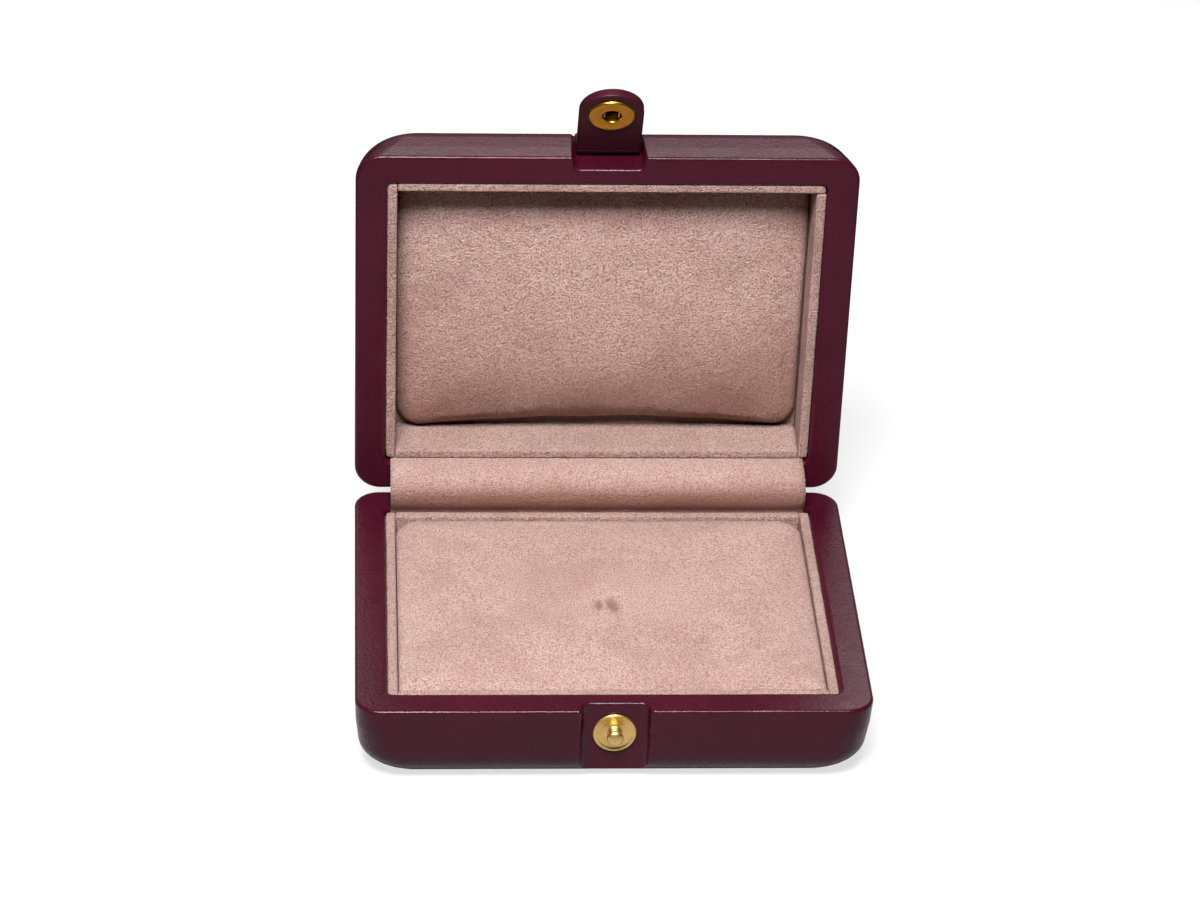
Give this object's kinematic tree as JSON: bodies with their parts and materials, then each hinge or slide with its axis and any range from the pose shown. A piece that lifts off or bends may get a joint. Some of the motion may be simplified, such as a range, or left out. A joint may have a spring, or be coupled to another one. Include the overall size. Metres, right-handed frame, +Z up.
{
  "type": "gemstone storage case",
  "caption": "Hinged leather-covered storage case lined with padded suede for gemstones, with a press-stud closing tab, standing open",
  "frame": {"origin": "centre of the flat underside of the base, on the surface it stands on", "axes": "+Z up; +X to the right seen from the front, along the hinge and the wider side; +Y to the rear, where the hinge is; the front with the press stud faces -Y"},
  "size_m": [0.12, 0.1131, 0.1357],
  "materials": {
    "core_wood": "plain",
    "cover_leather": "smooth",
    "tab_leather": "smooth",
    "card": "plain",
    "suede": "suede, short nap",
    "foam": "open-cell padding",
    "brass": "polished",
    "spring_steel": "drawn wire"
  },
  "bodies": {
    "base": {"base_bottom_panel": "cover_leather", "base_core": "core_wood", "base_floor_card": "card", "base_leather_cover": "cover_leather", "base_lining_front_card": "card", "base_lining_front_suede": "suede", "base_lining_left_card": "card", "base_lining_left_suede": "suede", "base_lining_rear_card": "card", "base_lining_rear_suede": "suede", "base_lining_right_card": "card", "base_lining_right_suede": "suede", "base_pad_board": "card", "base_pad_cover": "suede", "base_pad_foam": "foam", "hinge_gusset_suede": "suede", "hinge_spine_leather": "cover_leather", "stud": "brass", "stud_rivet": "brass"},
    "lid": {"lid_core": "core_wood", "lid_floor_card": "card", "lid_leather_cover": "cover_leather", "lid_lining_front_card": "card", "lid_lining_front_suede": "suede", "lid_lining_left_card": "card", "lid_lining_left_suede": "suede", "lid_lining_rear_card": "card", "lid_lining_rear_suede": "suede", "lid_lining_right_card": "card", "lid_lining_right_suede": "suede", "lid_pad_board": "card", "lid_pad_cover": "suede", "lid_pad_foam": "foam", "tab_strap_tail": "tab_leather", "tab_strap_fold": "tab_leather"},
    "tab": {"tab_outer_leather": "tab_leather", "tab_stiffener": "card", "tab_lining_leather": "tab_leather", "socket_ring": "brass", "socket_cap": "brass", "socket_spring": "spring_steel"}
  },
  "joints": [
    {"name": "lid_hinge", "type": "hinge", "parent": "base", "child": "lid", "pos_m": [0, 0.0475, 0.02135], "axis": [1, 0, 0], "range_deg": [0, 88.4], "deforming": ["hinge_gusset_suede", "hinge_spine_leather"]},
    {"name": "tab_flex", "type": "hinge", "parent": "lid", "child": "tab", "pos_m": [0, 0.05146, 0.1155], "axis": [1, 0, 0], "range_deg": [-20, 64], "stiffness_Nm_per_rad": 0.02, "deforming": ["tab_strap_fold"]}
  ]
}
